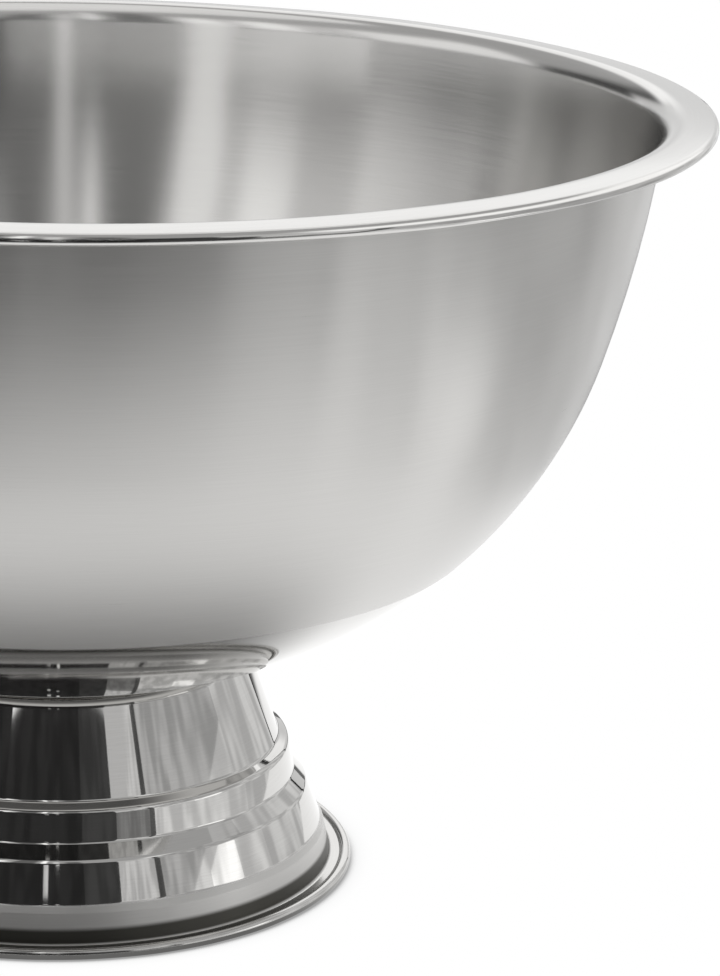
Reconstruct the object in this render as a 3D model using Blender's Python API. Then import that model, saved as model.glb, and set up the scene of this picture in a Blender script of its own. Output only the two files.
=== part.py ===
"""Footed punch bowl in stainless steel, modelled as it comes apart on a bench.

A deep spun bowl with a flared lip and a rolled edge stands on a hollow, stepped foot that is
spun from one disc. A stud welded under the bowl passes through the dished seat on top of the
foot, and a clamp plate, two washers and a nut pull the two together from inside the foot.

Units are metres and +Z is up. The origin is on the table, on the axis that every piece shares.
"""

import math

import bmesh
import bpy
from mathutils import Matrix, Vector

MM = 0.001

# Overall sizes
RIM_DIAMETER = 380.0 * MM       # over the rolled edge of the lip
BOWL_DEPTH = 171.4 * MM         # top of the lip down to the underside of the bowl
BOWL_BASE_HEIGHT = 61.2 * MM    # table to the lowest point of the bowl's underside
FOOT_DIAMETER = 178.8 * MM      # over the rolled edge of the foot

# Sheet and fits
BOWL_SHEET = 0.8 * MM
FOOT_SHEET = 0.8 * MM
TOUCH_GAP = 0.3 * MM            # between two pieces that rest on each other

# Bowl: three tangent arcs, each ending where the wall has turned to this angle from level
BOTTOM_ARC_RADIUS = 226.0 * MM
BOTTOM_ARC_END = math.radians(18.4)
SHOULDER_ARC_END = math.radians(72.0)
WALL_ARC_END = math.radians(82.2)

# Lip of the bowl
LIP_BEND_RADIUS = 7.0 * MM      # upper face, where the wall turns outwards
LIP_WIDTH = 9.4 * MM            # crest of the bend to the outside of the rolled edge
LIP_FALL = math.radians(4.0)    # slope of the lip, outwards and down
RIM_ROLL_RADIUS = 1.75 * MM
RIM_ROLL_END = math.radians(-185.0)

# Foot, from its rolled edge inwards and upwards. A run is how far out a wall slopes on its way down.
FOOT_ROLL_RADIUS = 1.7 * MM
FOOT_ROLL_FILLET = 0.8 * MM     # where the ring rises into the roll
FOOT_ROLL_END = math.radians(-150.0)
FOOT_LAND_ANGLE = math.radians(20.0)    # the roll is flat this far each side of its lowest point
RING_WIDTH = 6.5 * MM           # base of the gutter wall to the outside of the rolled edge
RING_HEIGHT = 2.2 * MM          # table to the upper face of the ring
RING_BEND = 1.2 * MM
EDGE_HEIGHT = 11.0 * MM         # the sharp edge above the gutter wall
EDGE_BEND = 1.3 * MM
GUTTER_RUN = 2.0 * MM
SKIRT_HEIGHT = 13.2 * MM        # where the skirt starts to flare towards the edge
SKIRT_BEND = 2.5 * MM
FLARE_RUN = 1.4 * MM
SKIRT_RUN = 4.1 * MM
LOWER_STEP_HEIGHT = 28.9 * MM   # of the step's inner corner
LOWER_STEP_WIDTH = 4.1 * MM
LOWER_STEP_FALL = 4.3 * MM      # from the step's inner corner to its outer one
LOWER_STEP_BEND = 3.4 * MM      # of the outer corner
BAND_RUN = 1.5 * MM
UPPER_STEP_HEIGHT = 39.6 * MM
UPPER_STEP_WIDTH = 3.2 * MM
UPPER_STEP_FALL = 1.7 * MM
UPPER_STEP_BEND = 2.2 * MM
INNER_BEND = 1.8 * MM           # of both steps' inner corners
CONE_RUN = 10.4 * MM            # upper cone, from the neck to the upper step
NECK_BEND = 4.0 * MM

# Fastening inside the foot
STUD_DIAMETER = 8.0 * MM
STUD_END = 3.0 * MM             # thread left showing below the nut
STUD_CHAMFER = 0.8 * MM
FLANGE_DIAMETER = 20.0 * MM     # welded flange on top of the stud
FLANGE_CLEARANCE = 3.0 * MM     # between the flange and the hole in the seat
HOLE_CLEARANCE = 0.4 * MM       # radial, round the stud
PLATE_DIAMETER = 64.0 * MM
PLATE_SHEET = 1.5 * MM
WASHER_DIAMETER = 16.0 * MM
WASHER_THICKNESS = 1.6 * MM
SPRING_WASHER_DIAMETER = 14.2 * MM
SPRING_WASHER_THICKNESS = 2.0 * MM
SPRING_WASHER_SLIT = math.radians(14.0)
NUT_ACROSS_FLATS = 13.0 * MM
NUT_THICKNESS = 6.5 * MM
NUT_BORE_CHAMFER = 0.6 * MM
NUT_CORNER_ANGLE = math.radians(30.0)   # slope of the cone that takes off the nut's corners

# How finely the round shapes are cut
TURNS = 60                      # facets round the bowl and the foot
SMALL_TURNS = 24                # facets round the fastening
WIDE_STEP = math.radians(6.0)   # largest turn between two points on an arc of the bowl
SEAT_STEP = math.radians(3.0)   # the same where the foot and the clamp plate follow the bowl
BEND_STEP = math.radians(22.0)  # the same in the bend of the lip
TIGHT_STEP = math.radians(40.0)  # the same in a rolled edge or a small bend

# Heights of the fastening, from the bowl downwards
FLANGE_TOP = BOWL_BASE_HEIGHT - TOUCH_GAP
FLANGE_RISE = BOTTOM_ARC_RADIUS - math.sqrt(BOTTOM_ARC_RADIUS ** 2 - (FLANGE_DIAMETER / 2) ** 2)
FLANGE_BOTTOM = FLANGE_TOP - FOOT_SHEET + FLANGE_RISE   # the dished plate rises towards its edge
PLATE_TOP = FLANGE_TOP - FOOT_SHEET - TOUCH_GAP
WASHER_TOP = PLATE_TOP - PLATE_SHEET - TOUCH_GAP
SPRING_WASHER_TOP = WASHER_TOP - WASHER_THICKNESS - TOUCH_GAP
NUT_TOP = SPRING_WASHER_TOP - SPRING_WASHER_THICKNESS - TOUCH_GAP
STUD_BOTTOM = NUT_TOP - NUT_THICKNESS - STUD_END
STUD_HOLE_RADIUS = STUD_DIAMETER / 2 + HOLE_CLEARANCE


def clear_scene():
    """Remove everything that the scene starts with."""
    for thing in list(bpy.data.objects):
        bpy.data.objects.remove(thing)


def steel(name, colour, roughness):
    """A metal with its colour and its roughness."""
    material = bpy.data.materials.new(name)
    material.use_nodes = True
    shader = material.node_tree.nodes["Principled BSDF"]
    shader.inputs["Base Color"].default_value = (*colour, 1.0)
    shader.inputs["Roughness"].default_value = roughness
    shader.inputs["Metallic"].default_value = 1.0
    return material


def add_object(name, bm, material):
    """Turn a bmesh into a named object with smooth round faces and crisp corners."""
    mesh = bpy.data.meshes.new(name)
    bm.to_mesh(mesh)
    bm.free()
    mesh.shade_smooth()
    mesh.set_sharp_from_angle(angle=math.radians(35.0))
    mesh.materials.append(material)
    thing = bpy.data.objects.new(name, mesh)
    bpy.context.collection.objects.link(thing)
    return thing


def arc(centre, radius, start, end, step):
    """Points on an arc, as (radius, height), from one angle to the other."""
    count = max(2, math.ceil(abs(end - start) / step))
    angles = [start + (end - start) * i / count for i in range(count + 1)]
    return [Vector((centre.x + radius * math.cos(a), centre.y + radius * math.sin(a))) for a in angles]


def rounded_corner(before, corner, after, bend, step):
    """The arc that rounds a corner of an outline with the given bend radius."""
    to_before = (before - corner).normalized()
    to_after = (after - corner).normalized()
    half = to_before.angle(to_after) / 2
    centre = corner + (to_before + to_after).normalized() * (bend / math.sin(half))
    first = corner + to_before * (bend / math.tan(half)) - centre
    last = corner + to_after * (bend / math.tan(half)) - centre
    start = math.atan2(first.y, first.x)
    turn = math.remainder(math.atan2(last.y, last.x) - start, math.tau)
    return arc(centre, bend, start, start + turn, step)


def rounded_outline(corners, bends, step):
    """An outline through the corners, each inner one rounded by its bend."""
    points = [corners[0]]
    for i, bend in enumerate(bends, start=1):
        points += rounded_corner(corners[i - 1], corners[i], corners[i + 1], bend, step)
    return points + [corners[-1]]


def spin_outline(points, turns):
    """Turn an outline of (radius, height) points once round the Z axis."""
    bm = bmesh.new()
    verts = [bm.verts.new((p.x, 0.0, p.y)) for p in points]
    edges = [bm.edges.new(pair) for pair in zip(verts, verts[1:])]
    bmesh.ops.spin(bm, geom=verts + edges, cent=(0, 0, 0), axis=(0, 0, 1),
                   angle=math.tau, steps=turns, use_merge=True)
    bmesh.ops.remove_doubles(bm, verts=bm.verts, dist=0.01 * MM)
    return bm


def spun_sheet(name, points, thickness, facing, material):
    """A sheet-metal shell on one side of a spun outline, which is listed from the axis outwards.

    The outline's own side faces the given way where it is nearest to the axis.
    """
    bm = spin_outline(points, TURNS)
    bmesh.ops.recalc_face_normals(bm, faces=bm.faces)
    innermost = min(bm.faces, key=lambda face: face.calc_center_median().xy.length)
    if innermost.normal.dot(facing) < 0:
        bmesh.ops.reverse_faces(bm, faces=bm.faces)
    thing = add_object(name, bm, material)
    wall = thing.modifiers.new("sheet", "SOLIDIFY")
    wall.thickness = thickness
    wall.offset = -1.0
    wall.use_even_offset = True
    return thing


def turned_solid(name, points, material):
    """A solid of revolution. An outline that starts and ends on the axis makes a full solid, and
    one that keeps clear of the axis is joined up into a ring."""
    outline = list(points)
    if min(p.x for p in points) > 0:
        outline.append(points[0])
    bm = spin_outline(outline, SMALL_TURNS)
    bmesh.ops.recalc_face_normals(bm, faces=bm.faces)
    return add_object(name, bm, material)


def bowl_arcs():
    """Radii of the shoulder and wall arcs that carry the wall to the lip at the set size."""
    crest_radius = RIM_DIAMETER / 2 - LIP_WIDTH
    under_bend = LIP_BEND_RADIUS - BOWL_SHEET
    mouth_radius = crest_radius - under_bend * math.sin(WALL_ARC_END)
    mouth_height = BOWL_DEPTH - LIP_BEND_RADIUS + under_bend * math.cos(WALL_ARC_END)
    sines = [math.sin(a) for a in (BOTTOM_ARC_END, SHOULDER_ARC_END, WALL_ARC_END)]
    cosines = [math.cos(a) for a in (BOTTOM_ARC_END, SHOULDER_ARC_END, WALL_ARC_END)]
    spans = Matrix(((sines[1] - sines[0], sines[2] - sines[1]),
                    (cosines[0] - cosines[1], cosines[1] - cosines[2])))
    left = Vector((mouth_radius - BOTTOM_ARC_RADIUS * sines[0],
                   mouth_height - BOTTOM_ARC_RADIUS * (1 - cosines[0])))
    return spans.inverted() @ left


def bowl_outline():
    """Outer face of the bowl, from the middle of its underside to the end of the rolled edge."""
    shoulder_radius, wall_radius = bowl_arcs()
    quarter = math.pi / 2
    centre = Vector((0.0, BOWL_BASE_HEIGHT + BOTTOM_ARC_RADIUS))
    points = arc(centre, BOTTOM_ARC_RADIUS, -quarter, BOTTOM_ARC_END - quarter, WIDE_STEP)
    for radius, start, end in ((shoulder_radius, BOTTOM_ARC_END, SHOULDER_ARC_END),
                               (wall_radius, SHOULDER_ARC_END, WALL_ARC_END)):
        outwards = Vector((math.sin(start), -math.cos(start)))
        points += arc(points[-1] - outwards * radius, radius, start - quarter, end - quarter,
                      WIDE_STEP)[1:]
    crest = Vector((RIM_DIAMETER / 2 - LIP_WIDTH, BOWL_BASE_HEIGHT + BOWL_DEPTH))
    bend_centre = crest - Vector((0.0, LIP_BEND_RADIUS))
    under_bend = LIP_BEND_RADIUS - BOWL_SHEET
    points += arc(bend_centre, under_bend, WALL_ARC_END + quarter, quarter - LIP_FALL, BEND_STEP)[1:]
    roll_radius = RIM_DIAMETER / 2 - RIM_ROLL_RADIUS
    upper_normal = Vector((math.sin(LIP_FALL), math.cos(LIP_FALL)))
    along = Vector((math.cos(LIP_FALL), -math.sin(LIP_FALL)))
    upper_start = bend_centre + upper_normal * LIP_BEND_RADIUS
    run = (roll_radius + RIM_ROLL_RADIUS * upper_normal.x - upper_start.x) / along.x
    roll_centre = upper_start + along * run - upper_normal * RIM_ROLL_RADIUS
    inner_roll = RIM_ROLL_RADIUS - BOWL_SHEET
    points += arc(roll_centre, inner_roll, quarter - LIP_FALL, RIM_ROLL_END, TIGHT_STEP)
    return points


def foot_corners():
    """Corners of the foot's outer face, from the upper step down to the ring, as (radius, height)."""
    ring = Vector((FOOT_DIAMETER / 2 - RING_WIDTH, RING_HEIGHT))
    edge = Vector((ring.x - GUTTER_RUN, EDGE_HEIGHT))
    skirt = Vector((edge.x - FLARE_RUN, SKIRT_HEIGHT))
    lower_outer = Vector((skirt.x - SKIRT_RUN, LOWER_STEP_HEIGHT - LOWER_STEP_FALL))
    lower_inner = lower_outer + Vector((-LOWER_STEP_WIDTH, LOWER_STEP_FALL))
    upper_outer = Vector((lower_inner.x - BAND_RUN, UPPER_STEP_HEIGHT - UPPER_STEP_FALL))
    upper_inner = upper_outer + Vector((-UPPER_STEP_WIDTH, UPPER_STEP_FALL))
    return [upper_inner, upper_outer, lower_inner, lower_outer, skirt, edge, ring]


def foot_seat(neck_radius):
    """The dished top of the foot, which follows the bowl from the flange's hole to the neck."""
    quarter = math.pi / 2
    centre = Vector((0.0, BOWL_BASE_HEIGHT + BOTTOM_ARC_RADIUS))
    radius = BOTTOM_ARC_RADIUS + TOUCH_GAP
    start = math.asin((FLANGE_DIAMETER / 2 + FLANGE_CLEARANCE) / radius) - quarter
    return arc(centre, radius, start, math.asin(neck_radius / radius) - quarter, SEAT_STEP)


def foot_outline():
    """Outer face of the foot, from the hole in its seat to the end of the rolled edge."""
    quarter = math.pi / 2
    walls = foot_corners()
    seat = foot_seat(walls[0].x - CONE_RUN)
    roll_height = FOOT_ROLL_RADIUS * math.cos(FOOT_LAND_ANGLE)
    roll_centre = Vector((FOOT_DIAMETER / 2 - FOOT_ROLL_RADIUS, roll_height))
    reach = FOOT_ROLL_RADIUS + FOOT_ROLL_FILLET
    rise = RING_HEIGHT + FOOT_ROLL_FILLET - roll_centre.y
    fillet_centre = roll_centre + Vector((-math.sqrt(reach ** 2 - rise ** 2), rise))
    meeting = math.atan2(rise, fillet_centre.x - roll_centre.x)
    corners = seat[-2:] + walls + [Vector((fillet_centre.x, RING_HEIGHT))]
    bends = [NECK_BEND, INNER_BEND, UPPER_STEP_BEND, INNER_BEND, LOWER_STEP_BEND,
             SKIRT_BEND, EDGE_BEND, RING_BEND]
    points = seat[:-2] + rounded_outline(corners, bends, TIGHT_STEP)
    points += arc(fillet_centre, FOOT_ROLL_FILLET, -quarter, meeting - math.pi, TIGHT_STEP)[1:]
    land_start = FOOT_LAND_ANGLE - quarter
    land_end = -FOOT_LAND_ANGLE - quarter
    points += arc(roll_centre, FOOT_ROLL_RADIUS, meeting, land_start, TIGHT_STEP)[1:]
    points += arc(roll_centre, FOOT_ROLL_RADIUS, land_end, FOOT_ROLL_END, TIGHT_STEP)
    return points


def make_bowl(material):
    """The bowl, drawn by its underside, so its sheet lies above and within the outline."""
    return spun_sheet("bowl", bowl_outline(), BOWL_SHEET, Vector((0, 0, -1)), material)


def make_foot(material):
    """The foot, drawn by its outer face, so its sheet lies within the outline."""
    return spun_sheet("foot", foot_outline(), FOOT_SHEET, Vector((0, 0, 1)), material)


def make_weld_stud(material):
    """The stud, with the round flange that is welded to the underside of the bowl."""
    shank = STUD_DIAMETER / 2
    flange = FLANGE_DIAMETER / 2
    return turned_solid("weld_stud", [
        Vector((0.0, FLANGE_TOP)),
        Vector((flange, FLANGE_TOP)),
        Vector((flange, FLANGE_BOTTOM)),
        Vector((shank, FLANGE_BOTTOM)),
        Vector((shank, STUD_BOTTOM + STUD_CHAMFER)),
        Vector((shank - STUD_CHAMFER, STUD_BOTTOM)),
        Vector((0.0, STUD_BOTTOM)),
    ], material)


def make_clamp_plate(material):
    """A dished plate that follows the seat and spreads the nut's pull."""
    centre = Vector((0.0, BOWL_BASE_HEIGHT + BOTTOM_ARC_RADIUS))
    upper = centre.y - PLATE_TOP
    lower = upper + PLATE_SHEET
    quarter = math.pi / 2
    edges = []
    for radius in (upper, lower):
        start = math.asin(STUD_HOLE_RADIUS / radius) - quarter
        end = math.asin(PLATE_DIAMETER / 2 / radius) - quarter
        edges.append(arc(centre, radius, start, end, SEAT_STEP))
    return turned_solid("clamp_plate", edges[0] + edges[1][::-1], material)


def make_flat_washer(material):
    """A plain washer between the clamp plate and the spring washer."""
    outer = WASHER_DIAMETER / 2
    bottom = WASHER_TOP - WASHER_THICKNESS
    return turned_solid("flat_washer", [
        Vector((STUD_HOLE_RADIUS, WASHER_TOP)),
        Vector((outer, WASHER_TOP)),
        Vector((outer, bottom)),
        Vector((STUD_HOLE_RADIUS, bottom)),
    ], material)


def make_spring_washer(material):
    """A square-section ring with a slit through one side."""
    outer = SPRING_WASHER_DIAMETER / 2
    bottom = SPRING_WASHER_TOP - SPRING_WASHER_THICKNESS
    corners = [(STUD_HOLE_RADIUS, bottom), (outer, bottom),
               (outer, SPRING_WASHER_TOP), (STUD_HOLE_RADIUS, SPRING_WASHER_TOP)]
    bm = bmesh.new()
    end = bm.faces.new([bm.verts.new((r, 0.0, z)) for r, z in corners])
    bmesh.ops.spin(bm, geom=[end], cent=(0, 0, 0), axis=(0, 0, 1),
                   angle=math.tau - SPRING_WASHER_SLIT, steps=SMALL_TURNS, use_duplicate=False)
    bmesh.ops.recalc_face_normals(bm, faces=bm.faces)
    return add_object("spring_washer", bm, material)


def make_nut(material):
    """A hexagon nut with its corners and its bore chamfered."""
    flats = 6
    bottom = NUT_TOP - NUT_THICKNESS
    outer = NUT_ACROSS_FLATS / 2
    corner_radius = outer / math.cos(math.pi / flats)
    bm = bmesh.new()
    bmesh.ops.create_cone(bm, cap_ends=True, segments=flats, radius1=corner_radius,
                          radius2=corner_radius, depth=NUT_THICKNESS)
    bmesh.ops.translate(bm, verts=bm.verts, vec=(0, 0, bottom + NUT_THICKNESS / 2))
    nut = add_object("hex_nut", bm, material)
    bore = STUD_HOLE_RADIUS
    mouth = bore + NUT_BORE_CHAMFER
    beyond = corner_radius + HOLE_CLEARANCE
    drop = (beyond - outer) * math.tan(NUT_CORNER_ANGLE)
    envelope = turned_solid("nut_envelope", [
        Vector((mouth, bottom)),
        Vector((outer, bottom)),
        Vector((beyond, bottom + drop)),
        Vector((beyond, NUT_TOP - drop)),
        Vector((outer, NUT_TOP)),
        Vector((mouth, NUT_TOP)),
        Vector((bore, NUT_TOP - NUT_BORE_CHAMFER)),
        Vector((bore, bottom + NUT_BORE_CHAMFER)),
    ], material)
    envelope.hide_render = True
    envelope.display_type = "WIRE"
    trim = nut.modifiers.new("chamfers and bore", "BOOLEAN")
    trim.operation = "INTERSECT"
    trim.object = envelope
    return nut


def build():
    clear_scene()
    satin = steel("satin stainless steel", (0.56, 0.56, 0.57), 0.32)
    polished = steel("polished stainless steel", (0.62, 0.62, 0.63), 0.08)
    plated = steel("zinc-plated steel", (0.50, 0.52, 0.55), 0.35)
    make_bowl(satin)
    make_foot(polished)
    make_weld_stud(plated)
    make_clamp_plate(plated)
    make_flat_washer(plated)
    make_spring_washer(plated)
    make_nut(plated)


build()
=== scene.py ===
# %% [markdown]
# # A footed punch bowl in stainless steel
#
# The bowl is spun from one disc of sheet and brushed round and round, so it shines softly and
# its highlights stretch up and down. The foot is spun from a second disc and polished like a
# mirror. A stud, a clamp plate, two washers and a nut hold the two together from underneath.
#
# The frame gives every piece its place. This script makes the fine surfaces, the finishes, the
# studio and the camera.

# %% Load the frame
import math

import bmesh
import bpy
from mathutils import Matrix, Vector, noise


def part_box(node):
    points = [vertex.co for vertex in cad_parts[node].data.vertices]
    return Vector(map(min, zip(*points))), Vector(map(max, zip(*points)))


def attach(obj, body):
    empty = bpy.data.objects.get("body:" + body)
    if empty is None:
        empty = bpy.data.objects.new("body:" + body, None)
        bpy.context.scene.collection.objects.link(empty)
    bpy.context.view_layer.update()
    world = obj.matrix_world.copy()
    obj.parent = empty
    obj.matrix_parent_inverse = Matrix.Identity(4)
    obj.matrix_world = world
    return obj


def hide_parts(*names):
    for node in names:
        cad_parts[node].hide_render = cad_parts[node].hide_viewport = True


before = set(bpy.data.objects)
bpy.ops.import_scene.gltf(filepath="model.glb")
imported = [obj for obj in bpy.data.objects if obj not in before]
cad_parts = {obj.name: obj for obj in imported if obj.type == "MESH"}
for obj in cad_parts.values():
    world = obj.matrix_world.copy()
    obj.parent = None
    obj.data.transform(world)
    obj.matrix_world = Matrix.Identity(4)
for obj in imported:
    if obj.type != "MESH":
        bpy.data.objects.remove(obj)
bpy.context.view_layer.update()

# %% [markdown]
# ## Camera
#
# A long lens some 1.2 m away looks down at the bowl. The aim is to the right of the bowl's
# axis, so that the frame holds the right half of the bowl, and the camera is rolled a little.
# A camera looks along its own -Z, so its three axes are written straight into its matrix.

# %% Place the camera
CAMERA_PLACE = Vector((0.0, -1.1594, 0.4381))
CAMERA_YAW = math.radians(4.421)
CAMERA_PITCH = math.radians(15.525)
CAMERA_ROLL = math.radians(1.493)
LENS_MM = 148.91

ahead = Vector((math.sin(CAMERA_YAW) * math.cos(CAMERA_PITCH),
                math.cos(CAMERA_YAW) * math.cos(CAMERA_PITCH),
                -math.sin(CAMERA_PITCH)))
level_right = Vector((math.cos(CAMERA_YAW), -math.sin(CAMERA_YAW), 0.0))
level_up = level_right.cross(ahead)
right = level_right * math.cos(CAMERA_ROLL) + level_up * math.sin(CAMERA_ROLL)
up = level_up * math.cos(CAMERA_ROLL) - level_right * math.sin(CAMERA_ROLL)
camera = bpy.data.objects.new("camera", bpy.data.cameras.new("camera"))
camera.data.lens = LENS_MM
camera.matrix_world = Matrix.Translation(CAMERA_PLACE) @ Matrix((right, up, -ahead)).transposed().to_4x4()
bpy.context.collection.objects.link(camera)
bpy.context.scene.camera = camera
print("camera looks along", ahead)

# %% [markdown]
# ## Nodes, colours and pieces
#
# Three small helpers serve every finish and every piece. The first adds a shader node with its
# settings and its links. The second turns an sRGB hex colour into the linear light that a
# shader works in. The third turns a bmesh into a finished object.

# %% Helpers for finishes and pieces
MM = 0.001


def add_node(tree, kind, settings=None, **inputs):
    """Add a node. An input's value is a number, a colour or another node's output."""
    node = tree.nodes.new(kind)
    for key, value in (settings or {}).items():
        setattr(node, key, value)
    for key, value in inputs.items():
        socket = node.inputs[int(key[1:]) if key[1:].isdigit() else key.replace("_", " ")]
        if isinstance(value, bpy.types.NodeSocket):
            tree.links.new(value, socket)
        else:
            socket.default_value = value
    return node


def linear(hex_colour):
    """An sRGB hex colour as linear red, green, blue and alpha."""
    parts = [int(hex_colour[i:i + 2], 16) / 255 for i in (1, 3, 5)]
    return tuple(p / 12.92 if p <= 0.04045 else ((p + 0.055) / 1.055) ** 2.4 for p in parts) + (1.0,)


def make_piece(name, bm, materials, smooth_angle=35.0):
    """Turn a bmesh into an object at the origin, smooth on its round faces."""
    mesh = bpy.data.meshes.new(name)
    bm.to_mesh(mesh)
    bm.free()
    mesh.shade_smooth()
    mesh.set_sharp_from_angle(angle=math.radians(smooth_angle))
    for material in materials:
        mesh.materials.append(material)
    piece = bpy.data.objects.new(name, mesh)
    bpy.context.collection.objects.link(piece)
    return piece

# %% [markdown]
# ## Satin steel, brushed round the bowl
#
# Stainless steel is an iron alloy with chromium, a grey metal with a faint warmth. The bowl
# turns in a lathe while an abrasive pad is held against it, which leaves fine scratches that
# run round the axis. Each scratch is a tiny groove, so light scatters across it and hardly
# along it: reflections smear up and down and stay narrow sideways. The anisotropic setting of
# the metal shader does that, with a tangent that runs round the Z axis. The scratches
# themselves are noise that is stretched round the axis.

# %% Coordinates that follow the lathe
def lathe_vector(tree, across_scale, around_scale, rising):
    """A vector for patterns that run round the Z axis.

    The first part grows along the outline, as radius plus or minus height, and the other two
    are the direction from the axis, so the pattern has no seam.
    """
    place = add_node(tree, "ShaderNodeTexCoord").outputs["Object"]
    flat = add_node(tree, "ShaderNodeVectorMath", {"operation": "MULTIPLY"},
                    _0=place, _1=(1.0, 1.0, 0.0)).outputs[0]
    radius = add_node(tree, "ShaderNodeVectorMath", {"operation": "LENGTH"}, _0=flat).outputs["Value"]
    height = add_node(tree, "ShaderNodeSeparateXYZ", Vector=place).outputs["Z"]
    along = add_node(tree, "ShaderNodeMath", {"operation": "MULTIPLY_ADD"},
                     _0=height, _1=rising, _2=radius).outputs[0]
    scaled = add_node(tree, "ShaderNodeMath", {"operation": "MULTIPLY"},
                      _0=along, _1=across_scale).outputs[0]
    direction = add_node(tree, "ShaderNodeVectorMath", {"operation": "NORMALIZE"}, _0=flat).outputs[0]
    turned = add_node(tree, "ShaderNodeVectorMath", {"operation": "SCALE"},
                      _0=direction, Scale=around_scale).outputs[0]
    parts = add_node(tree, "ShaderNodeSeparateXYZ", Vector=turned)
    vector = add_node(tree, "ShaderNodeCombineXYZ",
                      X=scaled, Y=parts.outputs["X"], Z=parts.outputs["Y"]).outputs[0]
    return vector, radius, height


def fade(tree, value, start, end, low, high):
    """A smooth change from low to high while the value goes from start to end."""
    return add_node(tree, "ShaderNodeMapRange", {"interpolation_type": "SMOOTHSTEP"},
                    Value=value, From_Min=start, From_Max=end, To_Min=low, To_Max=high).outputs[0]


# %% The steel's shader
STEEL_COLOUR = "#C9C8C6"
STEEL_DARK = "#BDBCBA"
# Painted shade: a dark steel colour that stands in for the shade in the foot's gutter
STEEL_PAINTED_SHADE = "#4A4945"
GRAIN_SPACING = 0.45 * MM       # about as fine as shows; the real scratches are finer still
QUARTER_TURN = 0.25             # turns the highlights so that they stretch across the scratches


def start_steel(name, anisotropy):
    """A metal shader whose highlights stretch across the lathe's scratches."""
    material = bpy.data.materials.new(name)
    material.use_nodes = True
    tree = material.node_tree
    shader = tree.nodes["Principled BSDF"]
    shader.inputs["Metallic"].default_value = 1.0
    shader.inputs["Anisotropic"].default_value = anisotropy
    shader.inputs["Anisotropic Rotation"].default_value = QUARTER_TURN
    tangent = add_node(tree, "ShaderNodeTangent", {"direction_type": "RADIAL", "axis": "Z"})
    tree.links.new(tangent.outputs[0], shader.inputs["Tangent"])
    return material, tree, shader


def finish_steel(tree, shader, grain, roughness, bump_height, painted_shade=0.0):
    """Colour, roughness and fine relief, all from the same scratches, with painted shade mixed into the
    colour where asked.
    """
    clean = add_node(tree, "ShaderNodeMix", {"data_type": "RGBA"},
                     Factor=grain, _6=linear(STEEL_DARK), _7=linear(STEEL_COLOUR)).outputs[2]
    # Painted shade: where the last mask is one, the steel colour turns dark
    colour = add_node(tree, "ShaderNodeMix", {"data_type": "RGBA"},
                      Factor=painted_shade, _6=clean, _7=linear(STEEL_PAINTED_SHADE)).outputs[2]
    tree.links.new(colour, shader.inputs["Base Color"])
    tree.links.new(roughness, shader.inputs["Roughness"])
    relief = add_node(tree, "ShaderNodeBump", None, Strength=1.0, Distance=bump_height, Height=grain)
    tree.links.new(relief.outputs[0], shader.inputs["Normal"])


def brushed_noise(tree, vector, detail, roughness):
    """The scratches, as noise between zero and one."""
    return add_node(tree, "ShaderNodeTexNoise", None, Vector=vector, Scale=1.0,
                    Detail=detail, Roughness=roughness).outputs["Fac"]


# %% Brushed stainless steel, outside of the bowl
POLISHED_BOTTOM_RADIUS = 123.0 * MM
LIP_START = 176.0 * MM
POLISH_EDGE = 0.5 * MM          # half the width over which satin turns to polish
SATIN_ROUGHNESS = 0.25
SATIN_WEAR = 0.10               # how much rougher the deepest scratches are
POLISHED_ROUGHNESS = 0.05
BOWL_RELIEF = 0.002 * MM
SCRATCH_RUN = 6.0               # higher makes the scratches shorter


def brushed_steel_outside():
    """Satin on the wall, polished round the foot and on the lip."""
    material, tree, shader = start_steel("brushed_stainless_steel", 0.9)
    vector, radius, _ = lathe_vector(tree, 1.0 / GRAIN_SPACING, SCRATCH_RUN, 1.0)
    grain = brushed_noise(tree, vector, 3.0, 0.65)
    wall = fade(tree, radius, POLISHED_BOTTOM_RADIUS - POLISH_EDGE,
                POLISHED_BOTTOM_RADIUS + POLISH_EDGE, 0.0, 1.0)
    below_lip = fade(tree, radius, LIP_START - POLISH_EDGE, LIP_START + POLISH_EDGE, 1.0, 0.0)
    satin = add_node(tree, "ShaderNodeMath", {"operation": "MULTIPLY"}, _0=wall, _1=below_lip).outputs[0]
    wear = add_node(tree, "ShaderNodeMath", {"operation": "MULTIPLY_ADD"},
                    _0=grain, _1=SATIN_WEAR, _2=SATIN_ROUGHNESS).outputs[0]
    roughness = add_node(tree, "ShaderNodeMix", {"data_type": "FLOAT"},
                         Factor=satin, A=POLISHED_ROUGHNESS, B=wear).outputs[0]
    finish_steel(tree, shader, grain, roughness, BOWL_RELIEF)
    return material


satin_outside = brushed_steel_outside()
print("finish:", satin_outside.name)

# %% Brushed stainless steel, inside of the bowl
INSIDE_ROUGHNESS = 0.17
INSIDE_WEAR = 0.06
LIP_ROUGHNESS = 0.12


def brushed_steel_inside():
    """Satin all over the inside, a little finer than outside, and finer still on the lip."""
    material, tree, shader = start_steel("brushed_stainless_steel_inside", 0.8)
    vector, radius, _ = lathe_vector(tree, 1.0 / GRAIN_SPACING, SCRATCH_RUN, 1.0)
    grain = brushed_noise(tree, vector, 3.0, 0.65)
    below_lip = fade(tree, radius, LIP_START - 1.0 * MM, LIP_START + 2.0 * MM, 1.0, 0.0)
    wear = add_node(tree, "ShaderNodeMath", {"operation": "MULTIPLY_ADD"},
                    _0=grain, _1=INSIDE_WEAR, _2=INSIDE_ROUGHNESS).outputs[0]
    roughness = add_node(tree, "ShaderNodeMix", {"data_type": "FLOAT"},
                         Factor=below_lip, A=LIP_ROUGHNESS, B=wear).outputs[0]
    finish_steel(tree, shader, grain, roughness, BOWL_RELIEF)
    return material


satin_inside = brushed_steel_inside()
print("finish:", satin_inside.name)
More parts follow.
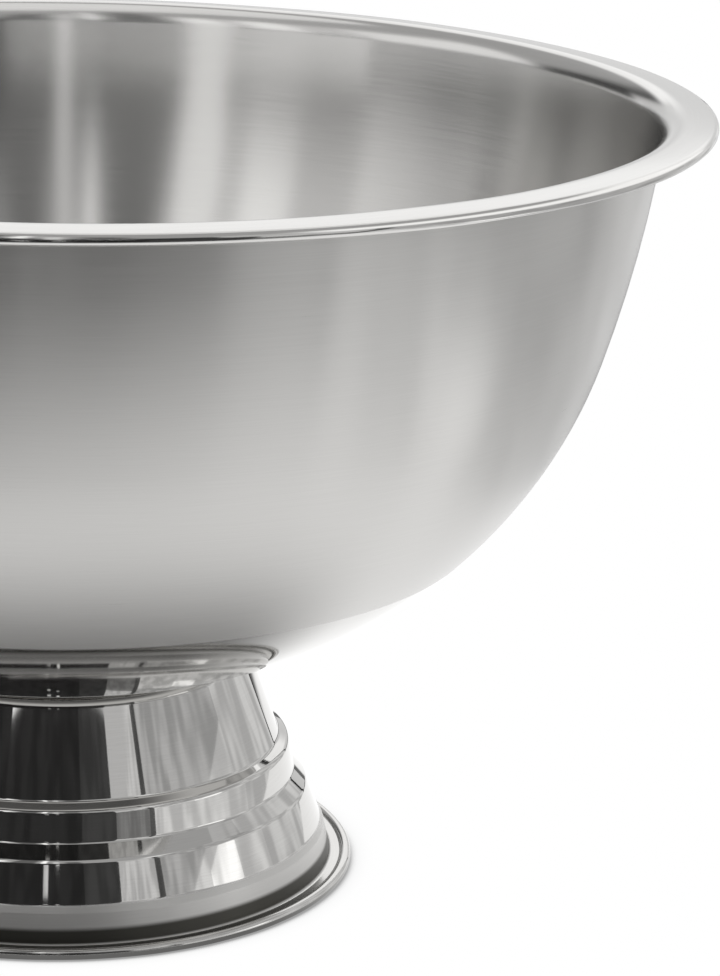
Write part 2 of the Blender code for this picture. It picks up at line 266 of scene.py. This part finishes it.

# %% [markdown]
# ## Mirror polish on the foot
#
# The foot is the same steel, polished until it reflects like a mirror, as a buffing wheel with
# paste does. Below the flare of the skirt it looks satin. The gutter behind the ring is dull, and
# its darkness is painted shade, a dark steel colour put where shade falls in the groove. The ring
# looks bright again. Height and radius tell these zones apart, so one material does the whole foot.

# %% Polished stainless steel, the foot
MIRROR_ROUGHNESS = 0.045
RING_ROUGHNESS = 0.13
UNPOLISHED_ROUGHNESS = 0.36
UNPOLISHED_WEAR = 0.10
SATIN_TOP = 13.0 * MM
GUTTER_RADIUS = 83.0 * MM
GUTTER_LOW = 2.6 * MM
GUTTER_HIGH = 6.6 * MM
GUTTER_LOW_EDGE = 0.3 * MM
GUTTER_HIGH_EDGE = 0.8 * MM
RING_EDGE = 0.6 * MM
SATIN_TOP_EDGE = 0.4 * MM
FOOT_RELIEF = 0.0003 * MM


def polished_steel():
    """Mirror polish down to the flare, satin below it, dull in the gutter with painted shade there."""
    material, tree, shader = start_steel("polished_stainless_steel", 0.5)
    vector, radius, height = lathe_vector(tree, 1.0 / GRAIN_SPACING, 5.0, -1.0)
    grain = brushed_noise(tree, vector, 2.0, 0.6)
    satin = fade(tree, height, SATIN_TOP - SATIN_TOP_EDGE, SATIN_TOP + SATIN_TOP_EDGE, 1.0, 0.0)
    wear = add_node(tree, "ShaderNodeMath", {"operation": "MULTIPLY_ADD"},
                    _0=grain, _1=UNPOLISHED_WEAR, _2=UNPOLISHED_ROUGHNESS).outputs[0]
    inside_ring = fade(tree, radius, GUTTER_RADIUS, GUTTER_RADIUS + RING_EDGE, 1.0, 0.0)
    below = add_node(tree, "ShaderNodeMix", {"data_type": "FLOAT"},
                     Factor=inside_ring, A=RING_ROUGHNESS, B=wear).outputs[0]
    roughness = add_node(tree, "ShaderNodeMix", {"data_type": "FLOAT"},
                         Factor=satin, A=MIRROR_ROUGHNESS, B=below).outputs[0]
    # Painted shade: the gutter wall inside the ring, between these heights, gets the dark steel colour
    above_ring = fade(tree, height, GUTTER_LOW - GUTTER_LOW_EDGE, GUTTER_LOW + GUTTER_LOW_EDGE, 0.0, 1.0)
    below_edge = fade(tree, height, GUTTER_HIGH - GUTTER_HIGH_EDGE, GUTTER_HIGH + GUTTER_HIGH_EDGE, 1.0, 0.0)
    gutter_wall = add_node(tree, "ShaderNodeMath", {"operation": "MULTIPLY"},
                           _0=above_ring, _1=below_edge).outputs[0]
    painted_shade = add_node(tree, "ShaderNodeMath", {"operation": "MULTIPLY"},
                       _0=gutter_wall, _1=inside_ring).outputs[0]
    finish_steel(tree, shader, grain, roughness, FOOT_RELIEF, painted_shade)
    return material


mirror_foot = polished_steel()
print("finish:", mirror_foot.name)

# %% [markdown]
# ## Zinc plating on the fasteners
#
# Studs, nuts and washers are usually carbon steel with a thin coat of zinc. These are hidden,
# so the finish is a guess at the usual one. Fresh zinc is a slightly blue grey, smooth but not
# polished, and a little cloudy from the bath.

# %% Zinc-plated steel
ZINC_DARK = "#A9B0B8"
ZINC_LIGHT = "#C6CBD0"
CLOUD_SPACING = 1.0 / 900.0     # metres, a little over a millimetre
ZINC_ROUGHNESS = (0.28, 0.42)
ZINC_RELIEF = 0.004 * MM


def plated_steel():
    """Zinc plating with a fine cloudiness that colour, roughness and relief share."""
    material = bpy.data.materials.new("zinc_plated_steel")
    material.use_nodes = True
    tree = material.node_tree
    shader = tree.nodes["Principled BSDF"]
    shader.inputs["Metallic"].default_value = 1.0
    place = add_node(tree, "ShaderNodeTexCoord").outputs["Object"]
    cloud = add_node(tree, "ShaderNodeTexNoise", None, Vector=place,
                     Scale=1.0 / CLOUD_SPACING, Detail=4.0).outputs["Fac"]
    colour = add_node(tree, "ShaderNodeMix", {"data_type": "RGBA"},
                      Factor=cloud, _6=linear(ZINC_DARK), _7=linear(ZINC_LIGHT)).outputs[2]
    tree.links.new(colour, shader.inputs["Base Color"])
    roughness = fade(tree, cloud, 0.3, 0.7, *ZINC_ROUGHNESS)
    tree.links.new(roughness, shader.inputs["Roughness"])
    relief = add_node(tree, "ShaderNodeBump", None, Strength=1.0, Distance=ZINC_RELIEF, Height=cloud)
    tree.links.new(relief.outputs[0], shader.inputs["Normal"])
    return material


plated = plated_steel()
print("finish:", plated.name)

# %% [markdown]
# ## Outlines for the lathe
#
# Every round piece is an outline turned about the Z axis. An outline is a list of points of
# radius and height, made from arcs that meet smoothly and corners that are rounded with a bend
# radius. The steps are much finer than a drawing needs, because polished steel shows every
# facet.

# %% Arcs and rounded corners
SHEET_TURNS = 256
FINE_STEP = math.radians(2.0)           # between the points of a wide arc
BEND_STEP = math.radians(10.0)          # between the points of a tight bend
MERGE_DISTANCE = 0.002 * MM


def arc(centre, radius, start, end, step):
    """Points on an arc, as (radius, height), from one angle to the other."""
    count = max(2, math.ceil(abs(end - start) / step))
    angles = [start + (end - start) * i / count for i in range(count + 1)]
    return [Vector((centre.x + radius * math.cos(a), centre.y + radius * math.sin(a))) for a in angles]


def rounded_corner(before, corner, after, bend, step):
    """The arc that rounds a corner of an outline with the given bend radius."""
    to_before = (before - corner).normalized()
    to_after = (after - corner).normalized()
    half = to_before.angle(to_after) / 2
    centre = corner + (to_before + to_after).normalized() * (bend / math.sin(half))
    first = corner + to_before * (bend / math.tan(half)) - centre
    last = corner + to_after * (bend / math.tan(half)) - centre
    start = math.atan2(first.y, first.x)
    turn = math.remainder(math.atan2(last.y, last.x) - start, math.tau)
    return arc(centre, bend, start, start + turn, step)


def spin_outline(points, turns):
    """Turn an outline once round the Z axis and close its seam and its poles."""
    bm = bmesh.new()
    verts = [bm.verts.new((p.x, 0.0, p.y)) for p in points]
    edges = [bm.edges.new(pair) for pair in zip(verts, verts[1:])]
    bmesh.ops.spin(bm, geom=verts + edges, cent=(0, 0, 0), axis=(0, 0, 1),
                   angle=math.tau, steps=turns, use_merge=True)
    bmesh.ops.remove_doubles(bm, verts=bm.verts, dist=MERGE_DISTANCE)
    bmesh.ops.recalc_face_normals(bm, faces=bm.faces)
    return bm


def let_it_wave(bm, height, spacing):
    """Spun sheet is never quite true, so let its surface wander by a fraction of a millimetre."""
    bm.normal_update()
    for vert in bm.verts:
        vert.co += vert.normal * (height * noise.noise(vert.co / spacing))


def spun_sheet(name, points, thickness, facing, materials, wave_height, wave_spacing):
    """A sheet-metal shell on one side of a spun outline that starts near the axis.

    The face nearest to the axis looks the way that facing points, and the sheet's thickness
    lies behind it. A second material goes on the far side of the sheet.
    """
    bm = spin_outline(points, SHEET_TURNS)
    let_it_wave(bm, wave_height, wave_spacing)
    innermost = min(bm.faces, key=lambda face: face.calc_center_median().xy.length)
    if innermost.normal.dot(facing) < 0:
        bmesh.ops.reverse_faces(bm, faces=bm.faces)
    piece = make_piece(name, bm, materials)
    wall = piece.modifiers.new("sheet", "SOLIDIFY")
    wall.thickness = thickness
    wall.offset = -1.0
    wall.use_even_offset = True
    wall.material_offset = len(materials) - 1
    wall.material_offset_rim = 0
    return piece

# %% [markdown]
# ## The bowl
#
# A spinner pushes a disc of steel over a wooden form, so the wall is one flowing curve. Three
# arcs that meet without a kink give it: a flat bottom, a tighter shoulder and a nearly upright
# wall. At the top the wall bends outwards into a lip, and the lip's edge is rolled under into a
# bead, which stiffens it and hides the cut edge. The radii of the shoulder and of the wall are
# solved from where the bowl has to end, because the frame fixes its diameter and its height.

# %% The bowl's outline
SHEET = 0.8 * MM
BOTTOM_ARC_RADIUS = 226.0 * MM
BOTTOM_ARC_END = math.radians(18.4)
SHOULDER_ARC_END = math.radians(72.0)
WALL_ARC_END = math.radians(82.2)
LIP_BEND_RADIUS = 7.0 * MM
LIP_WIDTH = 9.4 * MM
LIP_FALL = math.radians(4.0)
RIM_ROLL_RADIUS = 1.75 * MM
RIM_ROLL_END = math.radians(-185.0)
QUARTER = math.pi / 2

bowl_low, bowl_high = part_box("bowl")
rim_radius = bowl_high.x
bowl_base = bowl_low.z
print("rim radius", round(rim_radius / MM, 2), "mm, base height", round(bowl_base / MM, 2), "mm")


def bowl_outline():
    """Outer face of the bowl, from the middle of its underside to the end of the bead."""
    under_bend = LIP_BEND_RADIUS - SHEET
    crest = Vector((rim_radius - LIP_WIDTH, bowl_high.z))
    bend_centre = crest - Vector((0.0, LIP_BEND_RADIUS))
    mouth = bend_centre + Vector((-math.sin(WALL_ARC_END), math.cos(WALL_ARC_END))) * under_bend
    sines = [math.sin(a) for a in (BOTTOM_ARC_END, SHOULDER_ARC_END, WALL_ARC_END)]
    cosines = [math.cos(a) for a in (BOTTOM_ARC_END, SHOULDER_ARC_END, WALL_ARC_END)]
    spans = Matrix(((sines[1] - sines[0], sines[2] - sines[1]),
                    (cosines[0] - cosines[1], cosines[1] - cosines[2])))
    left = mouth - Vector((0.0, bowl_base)) - BOTTOM_ARC_RADIUS * Vector((sines[0], 1 - cosines[0]))
    shoulder_radius, wall_radius = spans.inverted() @ left
    centre = Vector((0.0, bowl_base + BOTTOM_ARC_RADIUS))
    points = arc(centre, BOTTOM_ARC_RADIUS, -QUARTER, BOTTOM_ARC_END - QUARTER, FINE_STEP)
    for radius, start, end in ((shoulder_radius, BOTTOM_ARC_END, SHOULDER_ARC_END),
                               (wall_radius, SHOULDER_ARC_END, WALL_ARC_END)):
        outwards = Vector((math.sin(start), -math.cos(start)))
        points += arc(points[-1] - outwards * radius, radius, start - QUARTER, end - QUARTER, FINE_STEP)[1:]
    points += arc(bend_centre, under_bend, WALL_ARC_END + QUARTER, QUARTER - LIP_FALL, BEND_STEP / 2)[1:]
    upper_normal = Vector((math.sin(LIP_FALL), math.cos(LIP_FALL)))
    along = Vector((math.cos(LIP_FALL), -math.sin(LIP_FALL)))
    upper_start = bend_centre + upper_normal * LIP_BEND_RADIUS
    roll_radius = rim_radius - RIM_ROLL_RADIUS
    run = (roll_radius + RIM_ROLL_RADIUS * upper_normal.x - upper_start.x) / along.x
    roll_centre = upper_start + along * run - upper_normal * RIM_ROLL_RADIUS
    points += arc(roll_centre, RIM_ROLL_RADIUS - SHEET, QUARTER - LIP_FALL, RIM_ROLL_END, BEND_STEP)
    return points


# %% Spin the bowl
BOWL_WAVE_HEIGHT = 0.12 * MM
BOWL_WAVE_SPACING = 45.0 * MM
bowl = spun_sheet("bowl_shell", bowl_outline(), SHEET, Vector((0, 0, -1)), [satin_outside, satin_inside],
                  BOWL_WAVE_HEIGHT, BOWL_WAVE_SPACING)
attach(bowl, "root")
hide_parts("bowl")
print("bowl:", len(bowl.data.polygons), "faces on each side")

# %% [markdown]
# ## The foot
#
# The foot is spun too, over a stepped form. From the top it is a dished seat that the bowl
# rests in, a cone, a step, a short band, a second step and a skirt that flares to a sharp
# edge. Below the edge the sheet drops down a gutter wall to a flat ring, whose rim is rolled
# under into a bead. The seat follows the bowl's bottom with a clearance, and stops at a hole
# that the stud's flange passes.

# %% The foot's outline
FOOT_ROLL_RADIUS = 1.7 * MM
FOOT_ROLL_FILLET = 0.8 * MM
FOOT_ROLL_END = math.radians(-150.0)
FOOT_LAND_ANGLE = math.radians(20.0)
RING_WIDTH = 6.5 * MM
RING_HEIGHT = 2.2 * MM
RING_BEND = 1.2 * MM
EDGE_HEIGHT = 11.0 * MM
EDGE_BEND = 1.3 * MM
GUTTER_RUN = 2.0 * MM
SKIRT_HEIGHT = 13.2 * MM
SKIRT_BEND = 2.5 * MM
FLARE_RUN = 1.4 * MM
SKIRT_RUN = 4.1 * MM
LOWER_STEP_HEIGHT = 28.9 * MM
LOWER_STEP_WIDTH = 4.1 * MM
LOWER_STEP_FALL = 4.3 * MM
LOWER_STEP_BEND = 3.4 * MM
BAND_RUN = 1.5 * MM
UPPER_STEP_HEIGHT = 39.6 * MM
UPPER_STEP_WIDTH = 3.2 * MM
UPPER_STEP_FALL = 1.7 * MM
UPPER_STEP_BEND = 2.2 * MM
INNER_BEND = 1.8 * MM
CONE_RUN = 10.4 * MM
NECK_BEND = 4.0 * MM
FIT_GAP = 0.3 * MM
SEAT_HOLE_RADIUS = 13.0 * MM

foot_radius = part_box("foot")[1].x


def foot_corners():
    """Corners of the foot's outer face, from the upper step down to the ring."""
    ring = Vector((foot_radius - RING_WIDTH, RING_HEIGHT))
    edge = Vector((ring.x - GUTTER_RUN, EDGE_HEIGHT))
    skirt = Vector((edge.x - FLARE_RUN, SKIRT_HEIGHT))
    lower_outer = Vector((skirt.x - SKIRT_RUN, LOWER_STEP_HEIGHT - LOWER_STEP_FALL))
    lower_inner = lower_outer + Vector((-LOWER_STEP_WIDTH, LOWER_STEP_FALL))
    upper_outer = Vector((lower_inner.x - BAND_RUN, UPPER_STEP_HEIGHT - UPPER_STEP_FALL))
    upper_inner = upper_outer + Vector((-UPPER_STEP_WIDTH, UPPER_STEP_FALL))
    return [upper_inner, upper_outer, lower_inner, lower_outer, skirt, edge, ring]


def foot_outline():
    """Outer face of the foot, from the hole in its seat to the end of the bead."""
    walls = foot_corners()
    seat_centre = Vector((0.0, bowl_base + BOTTOM_ARC_RADIUS))
    seat_radius = BOTTOM_ARC_RADIUS + FIT_GAP
    seat_start = math.asin(SEAT_HOLE_RADIUS / seat_radius) - QUARTER
    seat_end = math.asin((walls[0].x - CONE_RUN) / seat_radius) - QUARTER
    seat = arc(seat_centre, seat_radius, seat_start, seat_end, FINE_STEP)
    roll_centre = Vector((foot_radius - FOOT_ROLL_RADIUS, FOOT_ROLL_RADIUS * math.cos(FOOT_LAND_ANGLE)))
    reach = FOOT_ROLL_RADIUS + FOOT_ROLL_FILLET
    rise = RING_HEIGHT + FOOT_ROLL_FILLET - roll_centre.y
    fillet_centre = roll_centre + Vector((-math.sqrt(reach ** 2 - rise ** 2), rise))
    meeting = math.atan2(rise, fillet_centre.x - roll_centre.x)
    corners = seat[-2:] + walls + [Vector((fillet_centre.x, RING_HEIGHT))]
    bends = [NECK_BEND, INNER_BEND, UPPER_STEP_BEND, INNER_BEND, LOWER_STEP_BEND,
             SKIRT_BEND, EDGE_BEND, RING_BEND]
    points = seat[:-1]
    for i, bend in enumerate(bends, start=1):
        points += rounded_corner(corners[i - 1], corners[i], corners[i + 1], bend, BEND_STEP)
    points.append(corners[-1])
    points += arc(fillet_centre, FOOT_ROLL_FILLET, -QUARTER, meeting - math.pi, BEND_STEP)[1:]
    points += arc(roll_centre, FOOT_ROLL_RADIUS, meeting, FOOT_LAND_ANGLE - QUARTER, BEND_STEP)[1:]
    points += arc(roll_centre, FOOT_ROLL_RADIUS, -FOOT_LAND_ANGLE - QUARTER, FOOT_ROLL_END, BEND_STEP)
    return points


# %% Spin the foot
FOOT_WAVE_HEIGHT = 0.08 * MM
FOOT_WAVE_SPACING = 16.0 * MM
foot = spun_sheet("foot_shell", foot_outline(), SHEET, Vector((0, 0, 1)), [mirror_foot],
                  FOOT_WAVE_HEIGHT, FOOT_WAVE_SPACING)
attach(foot, "root")
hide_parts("foot")
print("foot:", len(foot.data.polygons), "faces on each side")

# %% [markdown]
# ## The fastening
#
# These pieces are seen only from below. They keep their shapes from the frame, and get the
# zinc plating of bought fasteners.

# %% Plate the fasteners
for node in ("weld_stud", "clamp_plate", "flat_washer", "spring_washer", "hex_nut"):
    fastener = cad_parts[node]
    fastener.data.materials.clear()
    fastener.data.materials.append(plated)
    print(node, "plated,", len(fastener.data.polygons), "faces")

# %% [markdown]
# ## The studio
#
# Polished steel shows its surroundings, so the studio is most of the picture. The bowl stands
# on a white table. The room in front of it, where the camera stands, is dark, with rows of
# lights in it, and dark cards with a few small lamps keep that light off the foot. A row of
# white cloth screens stands on the right, just outside the picture, and a weak, soft light hangs
# overhead. What is far away is painted into the world by direction, as azimuth from the
# camera's side and elevation. What is near is real geometry, because its reflection shifts from
# piece to piece. The camera itself sees none of it, only a white background.

# %% A world of distant screens and lamps
world = bpy.data.worlds.new("studio")
world.use_nodes = True
bpy.context.scene.world = world
sky = world.node_tree
direction = add_node(sky, "ShaderNodeTexCoord").outputs["Generated"]
toward = add_node(sky, "ShaderNodeSeparateXYZ", Vector=direction)
to_front = add_node(sky, "ShaderNodeMath", {"operation": "MULTIPLY"},
                    _0=toward.outputs["Y"], _1=-1.0).outputs[0]
azimuth = add_node(sky, "ShaderNodeMath", {"operation": "ARCTAN2"},
                   _0=toward.outputs["X"], _1=to_front).outputs[0]
elevation = add_node(sky, "ShaderNodeMath", {"operation": "ARCSINE"}, _0=toward.outputs["Z"]).outputs[0]


def window(tree, value, low, high, soft):
    """One between low and high degrees and zero outside, with soft edges."""
    rise = fade(tree, value, math.radians(low - soft), math.radians(low + soft), 0.0, 1.0)
    fall = fade(tree, value, math.radians(high - soft), math.radians(high + soft), 1.0, 0.0)
    return add_node(tree, "ShaderNodeMath", {"operation": "MULTIPLY"}, _0=rise, _1=fall).outputs[0]


DARK_ROOM = 0.04

# Azimuth from and to, elevation from and to, softness of the edges, brightness. A later one
# covers the earlier ones.
DISTANT = [
    (-220, 220, 20, 95, 6.0, 0.55),      # the ceiling
    (26, 220, -95, 30, 1.0, 0.75),       # the room on the right
    (44, 150, 8, 36, 6.0, 1.60),         # its windows
    (148, 220, -95, 12, 2.0, 0.85),      # the white backdrop
    (-220, -150, -95, 12, 2.0, 0.85),
    (148, 220, 12, 46, 4.0, 1.35),       # its upper part, which is lit more
    (-220, -170, 12, 46, 4.0, 1.35),
    (-156, -66, -95, 3, 3.0, 2.30),      # the bright window sill on the left
    (-112, -66, 10, 44, 5.0, 1.28),
    (-66, -24, 12, 46, 2.0, 0.90),       # soft lights beside the camera
    (-53, -41, 14, 46, 1.5, 1.50),       # brighter strips in them
    (-35, -26, 10, 46, 1.5, 1.50),
    (-22, -11, 2, 62, 1.0, 0.20),        # dim walls on both sides of the camera
    (4, 12, 6, 46, 2.0, 0.20),
    (-66, 12, 0, 5, 1.5, 3.60),          # a row of low lights behind the camera
    (-33, -27, 2, 24, 1.0, 1.25),        # a lamp stand
    (-8.4, -5.6, 17, 56, 0.6, 1.80),     # narrow lights above the camera
    (-2.4, 0.8, 6, 46, 0.7, 1.10),
]
brightness = DARK_ROOM
for az_low, az_high, el_low, el_high, soft, level in DISTANT:
    across = window(sky, azimuth, az_low, az_high, soft)
    upright = window(sky, elevation, el_low, el_high, soft)
    cover = add_node(sky, "ShaderNodeMath", {"operation": "MULTIPLY"}, _0=across, _1=upright).outputs[0]
    brightness = add_node(sky, "ShaderNodeMix", {"data_type": "FLOAT"},
                          Factor=cover, A=brightness, B=level).outputs[0]
seen = add_node(sky, "ShaderNodeLightPath").outputs["Is Camera Ray"]
shown = add_node(sky, "ShaderNodeMix", {"data_type": "FLOAT"}, Factor=seen, A=brightness, B=1.0).outputs[0]
sky.links.new(shown, sky.nodes["Background"].inputs["Strength"])
sky.nodes["Background"].inputs["Color"].default_value = (1.0, 1.0, 1.0, 1.0)
print(len(DISTANT), "distant lights and walls")

# %% The screens beside the bowl
SCREEN_TOP = 0.24
CARD_TOP = 0.25                         # low enough for the bowl's inside to see over
FOLD_SPACING = 0.035                    # the screens' cloth hangs in soft folds
FOLD_SHADE = 0.80
FOLD_CREST = 1.20
NOISE_SPREAD = (0.35, 0.65)             # the noise seldom goes past these

# Where a screen starts and ends, from what height up to what height, and its brightness
NEAR_SCREENS = [
    ((0.300, -0.640), (0.300, -0.345), 0.0, 0.130, 0.30),
    ((0.300, -0.640), (0.300, -0.345), 0.130, SCREEN_TOP, 0.80),
    ((0.300, -0.345), (0.300, -0.318), 0.0, SCREEN_TOP, 0.12),      # the joint between two screens
    ((0.300, -0.318), (0.265, 0.000), 0.0, 0.095, 0.95),
    ((0.300, -0.318), (0.265, 0.000), 0.095, SCREEN_TOP, 0.60),
    ((0.281, -0.150), (0.268, -0.070), 0.040, 0.082, 1.55),         # where a lamp lights their cloth
    ((0.265, 0.000), (0.245, 0.245), 0.0, SCREEN_TOP, 0.82),
    ((0.245, 0.245), (0.243, 0.256), 0.0, SCREEN_TOP, 0.02),        # the dark edge of the last one
    ((-0.800, -0.420), (0.080, -0.420), 0.0, CARD_TOP, 0.035),      # dark cards that shade the foot
    ((0.080, -0.420), (0.200, -0.420), 0.0, CARD_TOP, 0.07),
    ((-0.340, -0.140), (-0.140, -0.300), 0.0, 0.225, 0.035),
    ((-0.005, -0.415), (0.005, -0.415), 0.166, 0.188, 1.60),        # small lamps in front of them
    ((-0.042, -0.415), (-0.028, -0.415), 0.145, 0.175, 0.80),
    ((-0.005, -0.415), (0.005, -0.415), 0.101, 0.108, 1.20),
    ((-0.040, -0.415), (-0.028, -0.415), 0.086, 0.098, 1.20),
]
for number, (start, end, low, high, level) in enumerate(NEAR_SCREENS, start=1):
    bm = bmesh.new()
    corners = [(*start, low), (*end, low), (*end, high), (*start, high)]
    bm.faces.new([bm.verts.new(corner) for corner in corners])
    cloth = bpy.data.materials.new(f"lit_screen_{number}")
    cloth.use_nodes = True
    cloth.node_tree.nodes.remove(cloth.node_tree.nodes["Principled BSDF"])
    place = add_node(cloth.node_tree, "ShaderNodeTexCoord").outputs["Object"]
    folds = add_node(cloth.node_tree, "ShaderNodeTexNoise", None, Vector=place,
                     Scale=1.0 / FOLD_SPACING, Detail=1.0).outputs["Fac"]
    strength = fade(cloth.node_tree, folds, *NOISE_SPREAD, FOLD_SHADE * level, FOLD_CREST * level)
    glow = add_node(cloth.node_tree, "ShaderNodeEmission", None, Strength=strength)
    cloth.node_tree.links.new(glow.outputs[0], cloth.node_tree.nodes["Material Output"].inputs["Surface"])
    screen = make_piece(f"screen_{number}", bm, [cloth])
    screen.visible_camera = False
    screen.visible_shadow = False
print(len(NEAR_SCREENS), "screens, cards and lamps")

# %% The soft light overhead
OVERHEAD_SIZE = 0.8
OVERHEAD_WATTS = 1.0
OVERHEAD_PLACE = (0.15, 0.25, 0.95)
overhead = bpy.data.objects.new("overhead_light", bpy.data.lights.new("overhead_light", "AREA"))
overhead.data.shape = "DISK"
overhead.data.size = OVERHEAD_SIZE
overhead.data.energy = OVERHEAD_WATTS
overhead.location = OVERHEAD_PLACE
overhead.visible_camera = False
bpy.context.collection.objects.link(overhead)
print("overhead light", OVERHEAD_WATTS, "W at", OVERHEAD_PLACE)

# %% [markdown]
# ## The white table
#
# The table is matt white board. The camera sees it burnt out to white, with only a soft shadow
# where the foot's bead meets it. The steel sees it as it is lit: brightest to the right of the
# foot, grey in the bowl's shade, nearly dark far away. So its shader answers camera rays with
# plain light, dimmed where the bowl is close, and all other rays with the painted light.

# %% The table
TABLE_RADIUS = 3.0
CONTACT_SHADOW_REACH = 0.018
CONTACT_OPENNESS = (0.35, 0.95)         # how open to the sky the shadow's darkest and lightest parts are
CONTACT_DARKEST = 0.35
SHADE_EDGE = (0.100, 0.207)             # the bowl's shade on the table ends between these radii
SHADE_LEVEL = 0.22
SHADE_OPENS = (-0.010, 0.110)           # towards the right and the back, light gets under the bowl
LIT_LEVEL = 1.25
LIT_SPOT_CENTRE = (0.118, 0.014, 0.0)
LIT_SPOT_EDGE = (0.298, 0.519)          # the lit spot fades out between these distances
FAR_LEVEL = 0.15
bm = bmesh.new()
bmesh.ops.create_circle(bm, cap_ends=True, segments=128, radius=TABLE_RADIUS)
board = bpy.data.materials.new("matt_white_board")
board.use_nodes = True
tree = board.node_tree
tree.nodes.remove(tree.nodes["Principled BSDF"])
place = add_node(tree, "ShaderNodeTexCoord").outputs["Object"]
from_axis = add_node(tree, "ShaderNodeVectorMath", {"operation": "LENGTH"}, _0=place).outputs["Value"]
from_spot = add_node(tree, "ShaderNodeVectorMath", {"operation": "DISTANCE"},
                     _0=place, _1=LIT_SPOT_CENTRE).outputs["Value"]
to_back_right = add_node(tree, "ShaderNodeVectorMath", {"operation": "DOT_PRODUCT"},
                         _0=place, _1=(math.sqrt(0.5), math.sqrt(0.5), 0.0)).outputs["Value"]
shade = fade(tree, to_back_right, *SHADE_OPENS, SHADE_LEVEL, LIT_LEVEL)
under_bowl = fade(tree, from_axis, *SHADE_EDGE, shade, LIT_LEVEL)
lit_spot = fade(tree, from_spot, *LIT_SPOT_EDGE, 1.0, FAR_LEVEL)
lit = add_node(tree, "ShaderNodeMath", {"operation": "MULTIPLY"}, _0=under_bowl, _1=lit_spot).outputs[0]
as_lit = add_node(tree, "ShaderNodeEmission", None, Strength=lit)
open_sky = add_node(tree, "ShaderNodeAmbientOcclusion", {"samples": 16}, Distance=CONTACT_SHADOW_REACH)
contact = fade(tree, open_sky.outputs["AO"], *CONTACT_OPENNESS, CONTACT_DARKEST, 1.0)
burnt_out = add_node(tree, "ShaderNodeEmission", None, Strength=contact)
seen = add_node(tree, "ShaderNodeLightPath").outputs["Is Camera Ray"]
mixed = add_node(tree, "ShaderNodeMixShader", None, _0=seen, _1=as_lit.outputs[0], _2=burnt_out.outputs[0])
tree.links.new(mixed.outputs[0], tree.nodes["Material Output"].inputs["Surface"])
table = make_piece("table", bm, [board])
print("table", TABLE_RADIUS, "m in radius")

# %% [markdown]
# ## Picture settings
#
# The Standard view keeps greys as the shaders give them, which suits neutral metal.

# %% The view transform
bpy.context.scene.view_settings.view_transform = "Standard"
bpy.context.scene.view_settings.look = "None"
